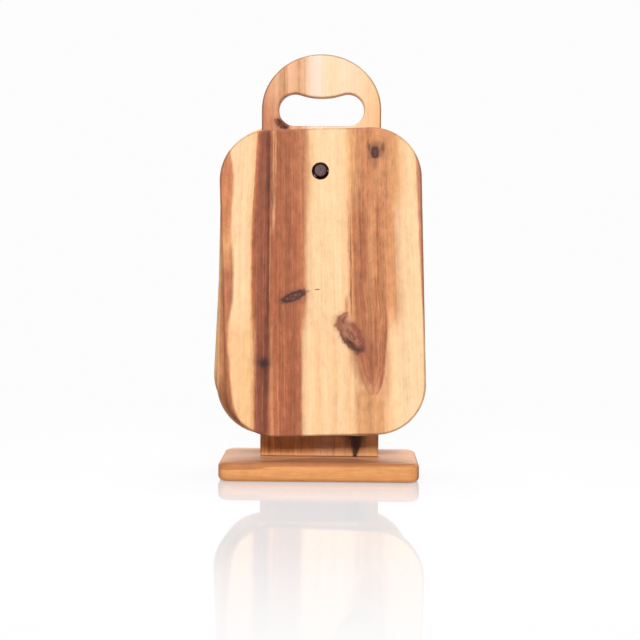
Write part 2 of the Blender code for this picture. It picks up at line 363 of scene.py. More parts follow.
class Finish:
    """A material that is about to get its nodes."""

    def __init__(self, name):
        self.material = bpy.data.materials.new(name)
        self.material.use_nodes = True
        self.tree = self.material.node_tree
        self.shader = self.tree.nodes["Principled BSDF"]

    def surface(self, kind):
        """Where a place on the surface lies, or the way it faces."""
        return Flow(add_node(self.tree, "TexCoord").outputs[kind])

    def give(self, name, value):
        wire(value, self.shader.inputs[name])

    def relief(self, height, strength, reach):
        bump = add_node(self.tree, "Bump", strength, reach)
        wire(height, bump.inputs["Height"])
        self.give("Normal", Flow(bump.outputs[0]))


MILLIMETRE = (0.001, 0.001, 0.001)


def wood_places(finish, centre, lean=0):
    """Millimetres across, through and along the grain from a centre, on a piece that leans."""
    turn = (0, math.radians(lean), 0)
    return finish.surface("Object").into("Mapping", centre, turn, MILLIMETRE, vector_type="TEXTURE").split()


# Wood colours, as they show in plain light
SAP_PALE = (255, 214, 169)
SAP = (255, 211, 163)
SAP_WARM = (250, 197, 145)
SAP_GOLD = (250, 200, 141)
SAP_DEEP = (247, 198, 147)
SAP_TAN = (236, 189, 144)
TAN = (226, 164, 111)
TAN_WARM = (218, 150, 102)
HEART_LIGHT = (208, 143, 99)
HEART_PALE = (196, 128, 88)
HEART_RED = (190, 108, 72)
HEART_WARM = (182, 111, 76)
HEART = (180, 106, 73)
HEART_DIM = (169, 100, 70)
HEART_DARK = (154, 89, 66)
HEART_DEEP = (146, 84, 63)
HEART_DARKEST = (130, 73, 55)
VEIN = (108, 60, 46)
KNOT_CORE = (132, 94, 86)
KNOT = (96, 60, 55)
KNOT_RIM = (60, 38, 40)
# Painted shade for the insides of the holes, where the gap round the peg lies dark.
HOLE_SHADE = (42, 22, 17)


def board_places(finish, board):
    """Millimetres across, through and down the board, from the centre of its hole."""
    _body, lean, _hole = BOARDS[board]
    across, through, along = wood_places(finish, (0, middle(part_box(board)).y, HOLE_HEIGHT), lean)
    return across, through, along * -1


def wander(across, through, down, reach, seed=0):
    """Lets the grain lines stray a little from their course."""
    spot = join(across + seed, through, down)
    return across + (spot.stray((26, 60, 120), 1) * reach + spot.stray((7, 40, 30), 1) * (reach * 0.3))


def feather(across, through, down):
    """Breaks up the border between two colours into fibres."""
    return across + join(across, through, down).stray((0.8, 6, 14), 2, 0.6) * 2.4


def spot_distance(across, down, centre, radii, turn=0):
    """How far a place is from an oval's centre: one on the oval's outline."""
    beside, below = across - centre[0], down - centre[1]
    cosine, sine = math.cos(math.radians(turn)), math.sin(math.radians(turn))
    long_way = beside * (cosine / radii[0]) + below * (sine / radii[0])
    short_way = beside * (-sine / radii[1]) + below * (cosine / radii[1])
    return (long_way * long_way + short_way * short_way).math("SQRT")


def bend_round(across, down, knots):
    """Makes the grain part and close again round its knots."""
    bent = across
    for centre, radii, _turn, parting in knots:
        distance = spot_distance(across, down, centre, (radii[0] * 1.9, radii[1] * 3.4))
        share = distance.rise(1.0, 0.1, parting)
        bent = bent - (across - centre[0]) * share
    return bent


def draw_line(colour, across, down, line):
    """Draws one line of the figure: its course, half width, ends, strength and colour."""
    places, width, (start, end, fade), strength, paint = line
    away = abs(across - down.course(places))
    share = away.rise(width, width * 0.2, strength) * down.between(start, end, fade)
    return share.mix(colour, paint)


def draw_knot(colour, across, down, knot, ragged):
    """A knot: a dark ragged rim, a mottled heart and a shadow that fades out along the grain."""
    centre, radii, turn, _parting = knot
    distance = spot_distance(across, down, centre, radii, turn) + ragged * 0.8
    shadow = spot_distance(across, down, centre, (radii[0] + 5, radii[1] + 6), turn) + ragged * 0.7
    colour = shadow.rise(1.15, 0.3, 0.6).mix(colour, (140, 88, 72))
    mottle = join(across, 0, down).noise((2.0, 1, 3.0), 3, 0.6)
    inside = mottle.ramp([(0.32, KNOT_RIM), (0.5, KNOT), (0.66, KNOT_CORE)])
    inside = distance.rise(0.35, 0.95, 0.85).mix(inside, KNOT_RIM)
    return distance.rise(1.3, 0.75, 0.93).mix(colour, inside)


# Each kind of streak: its size each way, its detail and its roughness
FIBRES = [((0.62, 8, 30), 3, 0.65), ((2.2, 20, 95), 3, 0.6), ((8, 40, 200), 2, 0.5), ((6, 30, 11), 3, 0.6)]


def fibres(across, through, down, seed=0):
    """Streaks along the grain, each about zero: fine, middling and broad ones, and soft blotches."""
    place = join(across + seed, through, down)
    return [place.stray(*shape) for shape in FIBRES]


def pores(across, through, down, seed=0):
    """Open pores: short thin dashes along the grain, denser in some bands than in others."""
    place = join(across + seed, through, down)
    limit = 0.7 + place.noise((4.5, 30, 160), 1) * -0.1
    return (place.noise((0.3, 0.9, 5.5), 1) - limit).rise(0.0, 0.07)


def pore_colour(colour, open_pores, heart):
    """Pores show dark brown in the heartwood and pale tan in the sapwood."""
    paint = heart.mix((206, 150, 100), VEIN)
    return (open_pores * (0.32 + heart * 0.14)).mix(colour, paint)


def facing(finish, direction):
    """How far a surface faces a direction or the opposite one, from zero to one."""
    node = add_node(finish.tree, "VectorMath", finish.surface("Normal"), direction, operation="DOT_PRODUCT")
    return abs(Flow(node.outputs["Value"]))


def rounded_edges(finish, flat_way):
    """One on the rounding between a flat piece's faces and its sides."""
    turned = facing(finish, flat_way)
    return turned.rise(0.995, 0.9) * turned.rise(0.02, 0.35)


YEAR_RING = 3.4


def end_grain(colour, across, through, ends, ring_centre):
    """Where a surface cuts across the grain: darker, with year rings and open pores."""
    flat = join(across, through, 0)
    radius = distance_from(across, through, ring_centre) + flat.noise((14, 14, 14), 2) * 5
    ring = (radius * (2 * math.pi / YEAR_RING)).math("SINE")
    holes = flat.noise((0.55, 0.55, 0.55), 1).rise(0.58, 0.72)
    dull = colour.into("VectorMath", (0.72, 0.66, 0.62), operation="MULTIPLY")
    cut = (holes * 0.55).mix(ring.rise(-0.4, 1.0, 0.34).mix(dull, HEART_DARK), VEIN)
    return ends.mix(colour, cut), holes


OILED_SHINE = 0.13
STAINED_SHINE = 0.03
WOOD_RELIEF = 0.00012
STEEL_RELIEF = 0.00003


def oiled(finish, colour, streaks, open_pores, rounded_edge_share):
    """Oiled, sanded wood: satin, a little rougher in the pale bands, on worn edges and in pores."""
    fine, middling, broad, _blotch = streaks
    finish.give("Base Color", colour)
    finish.give("Roughness", 0.47 + fine * 0.22 + broad * 0.16 + rounded_edge_share * 0.14 + open_pores * 0.2)
    finish.give("Specular IOR Level", OILED_SHINE)
    finish.relief(fine * 0.5 + middling * 0.35 + open_pores * -0.9, 0.35, WOOD_RELIEF)
    return finish.material


def grain_lift(colour, streaks, depth):
    """Lightens and darkens a colour along its fibres."""
    fine, middling, broad, blotch = streaks
    lift = 1.0 + (fine * 1.1 + middling + broad * 0.8 + blotch * 1.1) * depth
    node = add_node(lift.tree, "VectorMath", colour, operation="SCALE")
    wire(lift, node.inputs["Scale"])
    return Flow(node.outputs[0])


def grained(colour, streaks, open_pores, depth, heart_depth):
    """Lays the fibres and the pores over a colour, deeper where it is dark heartwood."""
    _red, green, _blue = colour.split()
    heart = green.rise(0.6, 0.16)
    colour = grain_lift(colour, streaks, depth + heart * heart_depth)
    return pore_colour(colour, open_pores, heart)


def ragged_outline(place, reach):
    """How far the outline of a knot or a mark strays."""
    return place.stray((2.6, 3, 3.4), 3, 0.7) * reach


# The front board, whose figure faces the camera

# Colours across the board near its top, in the middle and near its bottom: each place and its colour
FRONT_TOP = [
    (-100, SAP), (-72, SAP), (-67, SAP_WARM), (-64.6, HEART_RED), (-61, HEART_DARK), (-57, HEART_DEEP),
    (-51.8, HEART_DARKEST), (-50.4, VEIN), (-49, HEART_DIM), (-46, HEART_PALE), (-43, HEART),
    (-34, HEART_DIM), (-26, HEART_WARM), (-16, HEART_PALE), (-9, SAP_DEEP), (-4, SAP), (20, SAP),
    (26, SAP_WARM), (30.5, TAN), (40, HEART_LIGHT), (47, HEART_PALE), (56, TAN_WARM), (66, HEART_LIGHT),
    (75, TAN), (80.5, SAP_WARM), (88, SAP), (100, SAP_WARM),
]
FRONT_MIDDLE = [
    (-100, SAP), (-74, SAP), (-68, SAP_WARM), (-65.4, HEART_RED), (-63, HEART_DIM), (-58, HEART_DARK),
    (-53, HEART_DARK), (-50.6, VEIN), (-48.6, HEART), (-40, HEART), (-30, HEART_DIM), (-22, HEART),
    (-16.6, HEART_PALE), (-13.4, SAP_TAN), (-8, SAP), (18, SAP), (24.6, SAP_DEEP), (27, HEART_LIGHT),
    (29, TAN), (32, HEART_WARM), (36, HEART_PALE), (42, HEART_WARM), (46, HEART_LIGHT), (52, TAN_WARM),
    (57, HEART_PALE), (62, TAN_WARM), (69, TAN_WARM), (74, SAP_TAN), (81, SAP), (92, SAP),
    (100, SAP_WARM),
]
FRONT_BOTTOM = [
    (-100, SAP_GOLD), (-86, SAP_WARM), (-76, SAP_WARM), (-68, SAP_GOLD), (-64, TAN), (-62, HEART_DEEP),
    (-55, HEART_DARKEST), (-50.8, HEART_DARKEST), (-48, HEART_PALE), (-45, HEART), (-36, HEART),
    (-26, HEART_DIM), (-19.6, HEART_WARM), (-17.6, SAP_TAN), (-12, SAP), (-4, SAP_WARM), (2, SAP),
    (10, SAP_DEEP), (17, SAP), (25, SAP_DEEP), (33, SAP), (44, SAP_WARM), (60, SAP_WARM), (70, SAP),
    (80, SAP_PALE), (92, SAP), (100, SAP_GOLD),
]
# Each line: its course (down, across), half width, start and end and fade, strength, colour
FRONT_LINES = [
    ([(-42, -62.4), (60, -62.6), (263, -60)], 0.8, (-42, 250, 20), 0.5, (182, 112, 88)),
    ([(-42, -55.6), (60, -55.4), (263, -55.8)], 0.7, (-42, 250, 20), 0.55, HEART_WARM),
    ([(100, -57.6), (263, -57.4)], 0.9, (120, 262, 20), 0.5, HEART_DARKEST),
    ([(100, -52.6), (263, -52.2)], 0.7, (120, 262, 20), 0.5, HEART_DARKEST),
    ([(-42, -35.4), (120, -35.8), (263, -34)], 0.7, (-42, 250, 30), 0.4, HEART_LIGHT),
    ([(-42, -28.0), (120, -27.6), (263, -27)], 0.6, (-42, 150, 30), 0.4, HEART_LIGHT),
    ([(-42, -21.0), (120, -21.4), (263, -22)], 0.7, (30, 262, 30), 0.4, HEART_DARK),
    ([(-42, -64), (40, -66), (120, -65), (263, -62.5)], 0.9, (-60, 280, 9), 0.55, HEART_RED),
    ([(-42, -51), (60, -51.2), (263, -50)], 1.0, (-30, 66, 12), 0.52, VEIN),
    ([(-42, -59.2), (60, -58.4), (130, -58)], 0.9, (-40, 110, 16), 0.5, HEART_DARKEST),
    ([(-42, -46.8), (30, -46.6)], 0.7, (-42, 8, 3), 0.8, TAN),
    ([(-42, -44.4), (30, -44.2)], 0.55, (-42, 2, 2), 0.8, TAN),
    ([(15, -47), (40, -46), (66, -47.5)], 2.1, (22, 56, 12), 0.75, (236, 172, 132)),
    ([(40, -49.6), (90, -49.2), (150, -49.6)], 0.9, (50, 140, 14), 0.4, TAN),
    ([(160, -47.6), (260, -46.2)], 1.9, (188, 280, 12), 0.55, HEART_LIGHT),
    ([(180, -42.4), (260, -41)], 0.7, (196, 280, 12), 0.5, HEART_LIGHT),
    ([(-42, -39), (120, -40), (263, -38)], 0.8, (-20, 230, 40), 0.35, HEART_DARKEST),
    ([(-42, -30.6), (120, -31.5), (263, -30)], 1.1, (20, 240, 40), 0.3, HEART_DARK),
    ([(-42, -24), (120, -24.8), (263, -25)], 0.9, (-42, 130, 30), 0.3, HEART_DARK),
    ([(-40, 31), (60, 28.6), (140, 27.8)], 0.75, (40, 142, 14), 0.75, (150, 100, 70)),
    ([(-40, 38), (60, 32.6), (140, 32)], 0.8, (-30, 136, 16), 0.55, HEART_RED),
    ([(-40, 45), (60, 38.5), (140, 38)], 1.6, (10, 150, 20), 0.55, (178, 104, 84)),
    ([(-40, 50), (60, 45.4), (150, 44)], 0.7, (16, 150, 20), 0.5, HEART_RED),
    ([(0, 57), (60, 54.8), (117, 53.4), (160, 51)], 1.5, (24, 150, 20), 0.8, HEART_RED),
    ([(100, 25.6), (136, 23.6), (150, 22.6)], 2.8, (126, 150, 8), 0.75, HEART_WARM),
    ([(100, 42), (200, 41.4)], 2.4, (112, 176, 14), 0.6, TAN_WARM),
    ([(100, 49.4), (200, 48)], 3.4, (112, 200, 14), 0.6, HEART),
    ([(-40, 66), (60, 64), (120, 65)], 0.7, (10, 120, 20), 0.4, HEART_PALE),
    ([(-40, 72), (60, 70), (130, 70.5), (190, 69)], 0.9, (60, 150, 22), 0.45, (176, 122, 84)),
    ([(-40, 78), (60, 76.5), (120, 75)], 0.8, (-20, 70, 18), 0.35, TAN),
    ([(0, 2.0), (240, 5.0)], 0.8, (30, 250, 40), 0.16, TAN),
    ([(0, 12.0), (240, 13.0)], 1.0, (90, 260, 50), 0.18, TAN),
    ([(0, -4.0), (240, -3.0)], 0.7, (110, 250, 40), 0.16, TAN),
    ([(0, -79.0), (240, -77.0)], 0.9, (-40, 250, 50), 0.14, TAN),
]
# Each knot: its centre across and down, its two radii, its turn in degrees and how far it parts the grain
FRONT_KNOTS = [
    ((54.2, -17.0), (3.7, 6.2), 4, 0.4),
    ((-27, 123.5), (13.0, 4.4), -22, 0.08),
]
# Each dark speck: its centre, its two radii, its turn, how soft its outline is and how dark it is
FRONT_SPECKS = [
    ((62.2, -22.4), (1.8, 4.8), 8, 0.7, 0.55),
    ((48.6, -22.6), (1.1, 5.4), -8, 0.8, 0.5),
    ((54.0, -6.0), (1.6, 4.6), 4, 1.1, 0.3),
    ((55.0, -19.6), (7.6, 9.4), 0, 0.4, 0.28),
    ((-55, 189), (4.6, 4.2), 0, 0.9, 0.9),
    ((-55, 189), (8.0, 9.0), 0, 1.1, 0.35),
    ((-54, 200), (1.6, 10.0), 3, 1.0, 0.35),
    ((-51.6, 10), (1.4, 12), 2, 0.8, 0.4),
    ((-47.6, 26), (0.8, 9), -3, 0.8, 0.4),
    ((27.2, 171.4), (7.2, 2.3), 50, 0.8, 0.85),
    ((-4, 117), (2.4, 0.6), 0, 0.5, 0.8),
]
BRANCH = ((26.8, 162.6), (20.6, 9.2), 60)


def front_board_wood():
    """Light sapwood with a dark stripe and a stripe of brown heartwood that ends in a tongue below a knot."""
    board = "board_front_outer"
    wood = Finish("front board acacia")
    across, through, down = board_places(wood, board)
    spread = (across + down * 0.0125) / (1 + down * 0.00035)
    spread = spread - down.course([(-42, 3.8), (0, 2.2), (40, 0.6), (70, 0)]) * spread.rise(-50, -60)
    straight = feather(wander(spread, through, down, 2.6), through, down)
    tongue, inside_tongue = front_tongue_grain(straight, down)
    grain = bend_round(inside_tongue.blend(straight, tongue), down, FRONT_KNOTS)
    colour = down.rise(8, 56).mix(straight.ramp(FRONT_TOP), grain.ramp(FRONT_MIDDLE))
    colour = (down.rise(132, 168) * (1 - inside_tongue)).mix(colour, straight.ramp(FRONT_BOTTOM))
    for line in FRONT_LINES:
        colour = draw_line(colour, grain, down, line)
    colour = front_left_strip(colour, straight, down)
    colour = front_right_strip(colour, straight, down)
    colour = front_tongue_edges(colour, straight, down, inside_tongue)
    streaks, open_pores = fibres(grain, through, down), pores(grain, through, down)
    colour = grained(colour, streaks, open_pores, 0.32, 0.42)
    ragged = ragged_outline(join(across, through, down), 1.1)
    colour = front_branch(colour, straight, down, ragged)
    for knot in FRONT_KNOTS:
        colour = draw_knot(colour, straight, down, knot, ragged)
    for centre, radii, turn, softness, strength in FRONT_SPECKS:
        distance = spot_distance(straight, down, centre, radii, turn) + ragged
        colour = distance.rise(1 + softness, 1 - softness, strength).mix(colour, KNOT_RIM)
    return board_surface(wood, colour, board, (across, through, down), streaks, open_pores)


LEFT_STRIP_COURSE = [
    (-42, -100), (-18, -91.5), (10, -87), (50, -87.4), (75, -85.4), (105, -84.4), (130, -85.4),
    (156, -88.2), (186, -87), (205, -85.2), (225, -82.8), (240, -78.4), (263, -70),
]
LEFT_STRIP_COLOURS = [
    (-42, HEART_PALE), (10, (202, 122, 82)), (50, (204, 126, 84)), (70, (226, 158, 106)), (98, HEART),
    (126, (178, 102, 70)), (148, (184, 108, 70)), (180, (172, 99, 63)), (220, (170, 96, 60)),
    (263, (166, 96, 60)),
]
LEFT_STRIP_LINES = [
    ([(60, -96.5), (110, -95.4), (160, -95.6)], 0.9, (78, 152, 12), 0.7, SAP_WARM),
    ([(140, -95.6), (200, -93.5), (263, -89)], 1.0, (156, 262, 14), 0.4, HEART_DARKEST),
]


def front_left_strip(colour, across, down):
    """A red-brown strip along the left edge, which swells, narrows and turns grey-brown lower down."""
    past = down.course(LEFT_STRIP_COURSE) - across
    colour = past.rise(-1.4, 2.2, 0.92).mix(colour, down.ramp(LEFT_STRIP_COLOURS))
    for line in LEFT_STRIP_LINES:
        colour = draw_line(colour, across, down, line)
    return colour


def front_right_strip(colour, across, down):
    """A narrow red-brown strip along the right edge."""
    past = across - down.course([(-42, 97.5), (0, 94.6), (120, 94.8), (200, 97.4), (263, 99)])
    share = past.rise(-0.9, 1.3, 0.85) * down.between(-24, 200, 22)
    return share.mix(colour, (190, 116, 90))


TONGUE_LEFT = [
    (118, 27.3), (140, 27.4), (160, 28.2), (178, 30.0), (191, 31.8), (204, 34.6), (213, 38.2),
    (219, 41.8), (224, 46.4),
]
TONGUE_RIGHT = [
    (118, 57.4), (130, 59.2), (144, 60.6), (168, 59), (188, 57.0), (204, 55.6), (213, 54.0),
    (219, 51.8), (224, 48.0),
]
TONGUE_WIDTH = TONGUE_RIGHT[0][1] - TONGUE_LEFT[0][1]


def front_tongue_grain(across, down):
    """The heartwood's lines close in to a point lower down: where each came from, and the tongue's share."""
    left, right = front_tongue_sides(down)
    width = (right - left).math("MAXIMUM", 0.4)
    share = (across - left) / width
    inside = share.rise(-0.02, 0.02) * share.rise(1.02, 0.98) * down.between(118.5, 222.5, 0.8)
    return share * TONGUE_WIDTH + TONGUE_LEFT[0][1], inside


def front_tongue_sides(down):
    return down.course(TONGUE_LEFT), down.course(TONGUE_RIGHT)


def front_tongue_edges(colour, across, down, inside):
    """The outline of the tongue, the shadow along its left side and the tan wood below its tip."""
    left, right = front_tongue_sides(down)
    outside = 1 - inside
    below = down.rise(200, 222) * across.between(29.5, 58, 3.6)
    colour = (below * outside * 0.95).mix(colour, (216, 156, 108))
    skirt = across.between(52, 62, 5) * down.between(150, 226, 14)
    colour = (skirt * outside * 0.8).mix(colour, (222, 166, 124))
    beyond_left = left - across
    shadow = beyond_left.rise(9, 1) * beyond_left.rise(-0.6, 0.4) * down.between(176, 214, 10)
    colour = (shadow * outside * 0.9).mix(colour, (196, 142, 102))
    colour = (inside * down.rise(134, 176) * 0.78).mix(colour, (176, 110, 79))
    blush = beyond_left.rise(-6, 0.4) * inside * down.rise(176, 192)
    colour = (blush * 0.55).mix(colour, (196, 136, 96))
    colour = (down.rise(200, 222) * inside * 0.6).mix(colour, (216, 156, 112))
    for lift, share, start in ((11, 0.74, 168), (27, 0.46, 108)):
        colour = front_tongue_line(across, down, lift, share, start).mix(colour, (148, 88, 64))
    line = abs(beyond_left).rise(2.2, 0.2) * down.between(174, 224, 6)
    colour = (line * 0.28).mix(colour, (152, 98, 66))
    line = abs(across - right).rise(1.9, 0.3) * down.between(144, 220, 10)
    return (line * 0.75).mix(colour, (164, 90, 64))


def front_tongue_line(across, down, lift, share, start):
    """A growth line within the tongue, from its start down to where it closes above the tip."""
    left, right = front_tongue_sides(down + lift)
    half = (right - left) * (share / 2)
    away = abs(abs(across - (left + right) * 0.5) - half)
    return away.rise(1.1, 0.1, 0.55) * down.between(start, 222 - lift, 5)


def front_branch(colour, across, down, ragged):
    """A branch cut lengthwise: red-brown within a dark outline, with lines that run round its end."""
    centre, radii, turn = BRANCH
    uneven = join(across, 0, down).stray((6.5, 1, 7.5), 1)
    distance = spot_distance(across, down, centre, radii, turn) + ragged * 0.12 + uneven * 0.6
    colour = distance.rise(1.5, 0.9, 0.45).mix(colour, (176, 112, 84))
    lines = ((distance + ragged * 0.9) * 11).math("SINE")
    inside = lines.rise(-0.9, 1.1).mix((178, 112, 84), (126, 74, 58))
    cloud = join(across, 0, down).noise((2.4, 1, 4.2), 2, 0.6)
    inside = cloud.rise(0.5, 0.66, 0.6).mix(inside, (164, 118, 100))
    inside = cloud.rise(0.46, 0.34, 0.7).mix(inside, (104, 62, 52))
    slope = (centre[0] - across) * 0.6 + down * 0.8
    lower_left = slope.rise(0.8 * centre[1] - 2, 0.8 * centre[1] + 8)
    rim = lower_left.mix((144, 82, 58), (86, 50, 43))
    inside = distance.rise(0.66, 0.9).mix(inside, rim)
    colour = distance.rise(1.16, 0.9, 0.88).mix(colour, inside)
    return front_curl(colour, across, down, ragged)


def front_curl(colour, across, down, ragged):
    """The branch's upper end: a pale eye, with brown lines that run round it from the left."""
    ragged = ragged * 0.3
    curl = spot_distance(across, down, (25.4, 149), (9.8, 8.6), -14) + ragged
    left = down.rise(154, 149) * across.rise(27.6, 22.6)
    colour = (curl.rise(1.05, 0.8, 0.7) * left).mix(colour, (180, 116, 86))
    for place, strength, paint in ((0.96, 0.8, (150, 92, 66)), (0.58, 0.7, (122, 68, 52))):
        line = abs(curl - place).rise(0.2, 0.04, strength)
        colour = (line * left).mix(colour, paint)
    eye = spot_distance(across, down, (26.0, 147.4), (3.0, 4.0), -24) + ragged
    return eye.rise(1.5, 0.3, 0.75).mix(colour, (218, 156, 122))


def board_surface(wood, colour, board, places, streaks, open_pores):
    """Adds what every board has: cut ends, painted shade along the front board's rounded edges and painted
    highlight along those of the boards behind, and painted shade in its hole.
    """
    across, through, down = places
    lean = math.radians(BOARDS[board][1])
    ends = facing(wood, (math.sin(lean), 0, math.cos(lean))).rise(0.55, 0.9)
    colour, holes = end_grain(colour, across, through, ends, (-18, -64))
    rounded_edge_share = rounded_edges(wood, (0, 1, 0))
    uneven = join(across, through, down).noise((12, 12, 12), 2)
    if board == "board_front_outer":
        # Painted shade along the rounded edges.
        colour = (rounded_edge_share * (0.2 + uneven * 0.5)).mix(colour, (142, 92, 66))
    else:
        # Painted highlight along the rounded edges, weaker towards the bottom corner.
        colour = (rounded_edge_share * (down.rise(226, 206, 0.3) + uneven * 0.3)).mix(colour, (246, 202, 156))
    # Painted shade inside the hole and on its eased rim.
    colour = distance_from(across, down, (0, 0)).rise(9.0, 8.3, 0.92).mix(colour, HOLE_SHADE)
    return oiled(wood, colour, streaks, open_pores.math("MAXIMUM", holes * ends), rounded_edge_share)


# The boards glued up from staves, each with its staves, its seed and its knots. Each stave: where it starts
# across the board, where the pith of its log lay across and through, how far the log leaned per
# millimetre, how far the heartwood reached and how golden the heartwood is
STAVE_BOARDS = {
    "board_front_inner": (
        [
            (-100, -92, 46, 0.03, 150, 0.4),
            (-58, -20, -70, -0.02, 62, 0.2),
            (-8, 14, 60, 0.10, 66, 0.0),
            (44, 96, -38, 0.02, 60, 0.5),
        ],
        11,
        [((18, 84), (5.0, 7.0), 10, 0.5)],
    ),
    "board_back_inner": (
        [
            (-100, -130, 40, 0.02, 150, 1.0),
            (-52, -26, -52, 0.12, 60, 0.1),
            (2, 60, 66, -0.03, 72, 0.6),
            (56, 80, -50, 0.05, 70, 0.0),
        ],
        223,
        [((-34, 150), (6.4, 4.4), 20, 0.5)],
    ),
    "board_back_outer": (
        [
            (-100, -84, -44, 0.05, 40, 0.9),
            (-60, -36, 34, -0.16, 60, 0.35),
            (-6, 40, -80, 0.03, 66, 0.8),
            (46, 74, 30, 0.17, 58, 0.1),
        ],
        411,
        [((-30, 66), (6.0, 8.0), 8, 0.5), ((66, 186), (4.6, 5.6), 0, 0.5)],
    ),
}
# Colours of the year rings, at values of the noise that draws them
GOLD_BANDS = [
    (0.26, (216, 150, 96)), (0.38, (234, 170, 112)), (0.46, (246, 186, 128)), (0.54, (238, 172, 114)),
    (0.62, (252, 196, 140)), (0.74, (240, 176, 118)),
]
HEART_BANDS = [
    (0.26, HEART_DARK), (0.38, (166, 98, 70)), (0.46, HEART), (0.54, (196, 124, 86)),
    (0.62, (176, 104, 72)), (0.74, (214, 146, 100)),
]
SAP_BANDS = [
    (0.28, (238, 186, 134)), (0.42, SAP_WARM), (0.52, SAP), (0.64, SAP_WARM), (0.76, (254, 220, 178)),
]


def by_stave(across, staves):
    """The numbers of the stave that a place lies in."""
    steps = [across.math("GREATER_THAN", stave[0]) for stave in staves[1:]]
    numbers = []
    for column in range(1, len(staves[0])):
        value = staves[0][column]
        for step, before, after in zip(steps, staves, staves[1:]):
            value = value + step * (after[column] - before[column])
        numbers.append(value)
    return numbers


def glue_lines(colour, across, joints):
    """Thin darker lines where the staves are glued together."""
    for joint in joints:
        colour = abs(across - joint).rise(0.35, 0.1, 0.5).mix(colour, HEART_DARK)
    return colour


def log_wood(places, pith, seed):
    """Wood sawn from a log: rings round its pith, heartwood out to its reach and sapwood beyond."""
    across, through, down = places
    pith_across, pith_through, lean, heart_reach, golden = pith
    spot = join(across + seed, through, down)
    slow, quick = spot.stray((34, 70, 95), 2), spot.stray((9, 30, 38), 2)
    fine = spot.stray((0.8, 6, 14), 2, 0.6)
    radius = distance_from(across, through - down * lean, (pith_across, pith_through))
    radius = radius + slow * 15 + quick * 3.4 + fine * 1.6
    bands = join(radius + seed, down * 0.002, 0).noise((5.5, 1, 1), 4, 0.62)
    heart = golden.mix(bands.ramp(HEART_BANDS), bands.ramp(GOLD_BANDS))
    past = radius - heart_reach
    colour = past.rise(-1.6, 2.0).mix(heart, bands.ramp(SAP_BANDS))
    border = past.rise(-9, -1) * past.rise(2, -0.5)
    return (border * 0.45).mix(colour, HEART_RED)


def stave_board_wood(board, staves, seed, knots):
    """A board glued up from staves of different logs."""
    wood = Finish(board.replace("board_", "").replace("_", " ") + " board acacia")
    across, through, down = board_places(wood, board)
    pith = by_stave(across, staves)
    stave_seed = by_stave(across, [(stave[0], 37.0 * number) for number, stave in enumerate(staves)])[0]
    bent = bend_round(across, down, knots)
    colour = log_wood((bent, through, down), pith, stave_seed + seed)
    if board != "board_back_outer":
        # Painted shade on the lower left corner, close behind the board in front.
        colour = (down.rise(200, 232) * across.rise(-62, -84, 0.85)).mix(colour, (144, 92, 62))
    streaks = fibres(wander(bent, through, down, 3, seed), through, down, seed)
    open_pores = pores(bent, through, down, seed)
    colour = grained(colour, streaks, open_pores, 0.28, 0.38)
    colour = glue_lines(colour, across, [stave[0] for stave in staves[1:]])
    ragged = ragged_outline(join(across, through, down), 1.1)
    for knot in knots:
        colour = draw_knot(colour, across, down, knot, ragged)
    return board_surface(wood, colour, board, (across, through, down), streaks, open_pores)


# The stand

UPRIGHT_ACROSS = [
    (-61, (218, 156, 118)), (-52, (228, 168, 128)), (-45, (238, 184, 144)), (-40, (212, 156, 110)),
    (-36.5, (214, 160, 114)), (-33, (242, 188, 150)), (-26, (236, 180, 138)), (-23.5, (222, 168, 124)),
    (-20.5, (234, 180, 138)), (-17, (236, 186, 146)), (-14, (245, 202, 168)), (-10, (250, 218, 192)),
    (-4, (252, 226, 206)), (-0.6, (252, 226, 206)), (0.2, (255, 224, 188)), (14, (254, 218, 176)),
    (22, (255, 224, 190)), (34, (254, 217, 179)), (46, (252, 211, 166)), (54, (249, 202, 150)),
    (61, (242, 188, 136)),
]
# Each line: where it runs at the top, in the middle and at the foot, its half width, strength and colour
UPRIGHT_LINES = [
    ((-39.5, -37, -38), 1.0, 0.5, (176, 116, 74)),
    ((-36, -34.6, -35), 0.5, 0.4, (176, 116, 74)),
    ((-23.8, -22, -24), 1.2, 0.3, (172, 118, 72)),
    ((-17.2, -16, -18), 0.8, 0.22, (190, 128, 88)),
    ((-12.4, -12, -13), 0.5, 0.2, (216, 160, 118)),
    ((9, 10.5, 10), 0.7, 0.28, (226, 176, 128)),
    ((25, 26.5, 25), 0.6, 0.24, (226, 172, 122)),
    ((48, 47, 49), 0.9, 0.3, (222, 160, 108)),
]
UPRIGHT_KNOT = ((-39.8, 71.2), (8.6, 3.9), 36, 0.5)
FOOT_BANDS = [
    (0.30, (140, 82, 40)), (0.42, (172, 106, 54)), (0.52, (202, 134, 74)), (0.62, (178, 114, 60)),
    (0.72, (218, 158, 94)),
]


